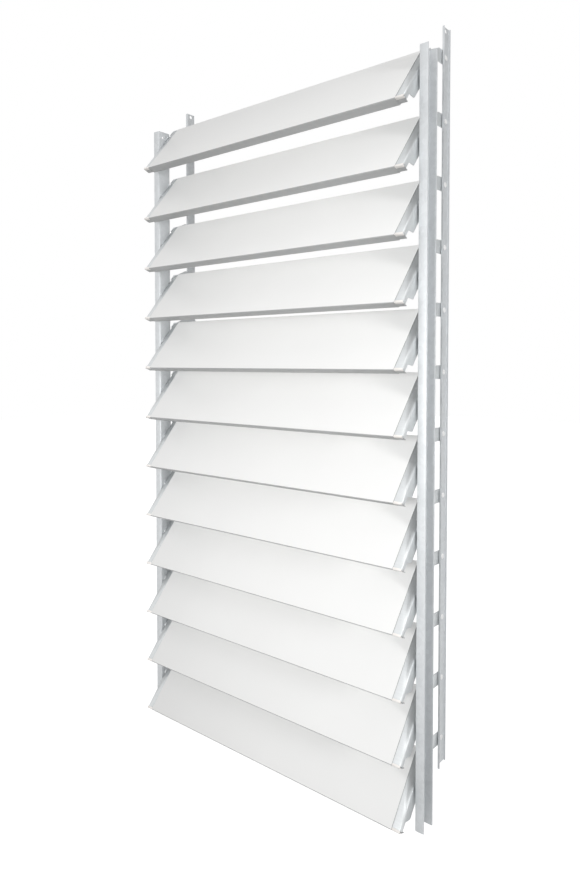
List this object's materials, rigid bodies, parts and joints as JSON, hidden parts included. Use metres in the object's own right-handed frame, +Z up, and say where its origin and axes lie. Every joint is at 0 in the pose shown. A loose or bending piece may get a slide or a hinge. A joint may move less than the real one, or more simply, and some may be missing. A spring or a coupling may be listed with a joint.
{
  "type": "operable louvre screen",
  "caption": "Tall screen of wide folded sheet slats that tilt together between two channel uprights, linked at each side by an upright drive bar behind the slats.",
  "frame": {"origin": "bottom centre of the screen's box, level with the feet of the uprights", "axes": "+X along the slats, +Y from the slats' lower edges towards the drive bars behind, +Z up"},
  "size_m": [1.2696, 0.2772, 2.5174],
  "materials": {
    "lacquer": "satin off-white lacquer on folded aluminium sheet",
    "plated": "zinc-plated pressed steel, with a cream plastic cap on the strip's foot",
    "galvanised": "galvanised steel channel with nylon bushes or link pins"
  },
  "bodies": {
    "frame": {"upright_left": "galvanised", "upright_right": "galvanised"},
    "slat_01": {"slat_01": "lacquer", "bracket_left_01": "plated", "bracket_right_01": "plated"},
    "slat_02": {"slat_02": "lacquer", "bracket_left_02": "plated", "bracket_right_02": "plated"},
    "slat_03": {"slat_03": "lacquer", "bracket_left_03": "plated", "bracket_right_03": "plated"},
    "slat_04": {"slat_04": "lacquer", "bracket_left_04": "plated", "bracket_right_04": "plated"},
    "slat_05": {"slat_05": "lacquer", "bracket_left_05": "plated", "bracket_right_05": "plated"},
    "slat_06": {"slat_06": "lacquer", "bracket_left_06": "plated", "bracket_right_06": "plated"},
    "slat_07": {"slat_07": "lacquer", "bracket_left_07": "plated", "bracket_right_07": "plated"},
    "slat_08": {"slat_08": "lacquer", "bracket_left_08": "plated", "bracket_right_08": "plated"},
    "slat_09": {"slat_09": "lacquer", "bracket_left_09": "plated", "bracket_right_09": "plated"},
    "slat_10": {"slat_10": "lacquer", "bracket_left_10": "plated", "bracket_right_10": "plated"},
    "slat_11": {"slat_11": "lacquer", "bracket_left_11": "plated", "bracket_right_11": "plated"},
    "slat_12": {"slat_12": "lacquer", "bracket_left_12": "plated", "bracket_right_12": "plated"},
    "drive_bar_left": {"drive_bar_left": "galvanised"},
    "drive_bar_right": {"drive_bar_right": "galvanised"}
  },
  "joints": [
    {"name": "slat_06_tilt", "type": "hinge", "parent": "frame", "child": "slat_06", "pos_m": [0, -0.02745, 1.338], "axis": [1, 0, 0], "range_deg": [-50, 26]},
    {"name": "slat_01_tilt", "type": "hinge", "parent": "frame", "child": "slat_01", "pos_m": [0, -0.02745, 2.338], "axis": [1, 0, 0], "range_deg": [-50, 26]},
    {"name": "slat_02_tilt", "type": "hinge", "parent": "frame", "child": "slat_02", "pos_m": [0, -0.02745, 2.138], "axis": [1, 0, 0], "range_deg": [-50, 26]},
    {"name": "slat_03_tilt", "type": "hinge", "parent": "frame", "child": "slat_03", "pos_m": [0, -0.02745, 1.938], "axis": [1, 0, 0], "range_deg": [-50, 26]},
    {"name": "slat_04_tilt", "type": "hinge", "parent": "frame", "child": "slat_04", "pos_m": [0, -0.02745, 1.738], "axis": [1, 0, 0], "range_deg": [-50, 26]},
    {"name": "slat_05_tilt", "type": "hinge", "parent": "frame", "child": "slat_05", "pos_m": [0, -0.02745, 1.538], "axis": [1, 0, 0], "range_deg": [-50, 26]},
    {"name": "slat_07_tilt", "type": "hinge", "parent": "frame", "child": "slat_07", "pos_m": [0, -0.02745, 1.138], "axis": [1, 0, 0], "range_deg": [-50, 26]},
    {"name": "slat_08_tilt", "type": "hinge", "parent": "frame", "child": "slat_08", "pos_m": [0, -0.02745, 0.938], "axis": [1, 0, 0], "range_deg": [-50, 26]},
    {"name": "slat_09_tilt", "type": "hinge", "parent": "frame", "child": "slat_09", "pos_m": [0, -0.02745, 0.738], "axis": [1, 0, 0], "range_deg": [-50, 26]},
    {"name": "slat_10_tilt", "type": "hinge", "parent": "frame", "child": "slat_10", "pos_m": [0, -0.02745, 0.538], "axis": [1, 0, 0], "range_deg": [-50, 26]},
    {"name": "slat_11_tilt", "type": "hinge", "parent": "frame", "child": "slat_11", "pos_m": [0, -0.02745, 0.338], "axis": [1, 0, 0], "range_deg": [-50, 26]},
    {"name": "slat_12_tilt", "type": "hinge", "parent": "frame", "child": "slat_12", "pos_m": [0, -0.02745, 0.138], "axis": [1, 0, 0], "range_deg": [-50, 26]},
    {"name": "drive_bar_left_link", "type": "hinge", "parent": "slat_06", "child": "drive_bar_left", "pos_m": [-0.6, 0.11656, 1.42237], "axis": [1, 0, 0], "range_deg": [-26, 50]},
    {"name": "drive_bar_right_link", "type": "hinge", "parent": "slat_06", "child": "drive_bar_right", "pos_m": [0.6, 0.11656, 1.42237], "axis": [1, 0, 0], "range_deg": [-26, 50]}
  ],
  "couplings": [
    {"joint": "slat_01_tilt", "follows": "slat_06_tilt", "ratio": 1},
    {"joint": "slat_02_tilt", "follows": "slat_06_tilt", "ratio": 1},
    {"joint": "slat_03_tilt", "follows": "slat_06_tilt", "ratio": 1},
    {"joint": "slat_04_tilt", "follows": "slat_06_tilt", "ratio": 1},
    {"joint": "slat_05_tilt", "follows": "slat_06_tilt", "ratio": 1},
    {"joint": "slat_07_tilt", "follows": "slat_06_tilt", "ratio": 1},
    {"joint": "slat_08_tilt", "follows": "slat_06_tilt", "ratio": 1},
    {"joint": "slat_09_tilt", "follows": "slat_06_tilt", "ratio": 1},
    {"joint": "slat_10_tilt", "follows": "slat_06_tilt", "ratio": 1},
    {"joint": "slat_11_tilt", "follows": "slat_06_tilt", "ratio": 1},
    {"joint": "slat_12_tilt", "follows": "slat_06_tilt", "ratio": 1},
    {"joint": "drive_bar_left_link", "follows": "slat_06_tilt", "ratio": -1},
    {"joint": "drive_bar_right_link", "follows": "slat_06_tilt", "ratio": -1}
  ]
}
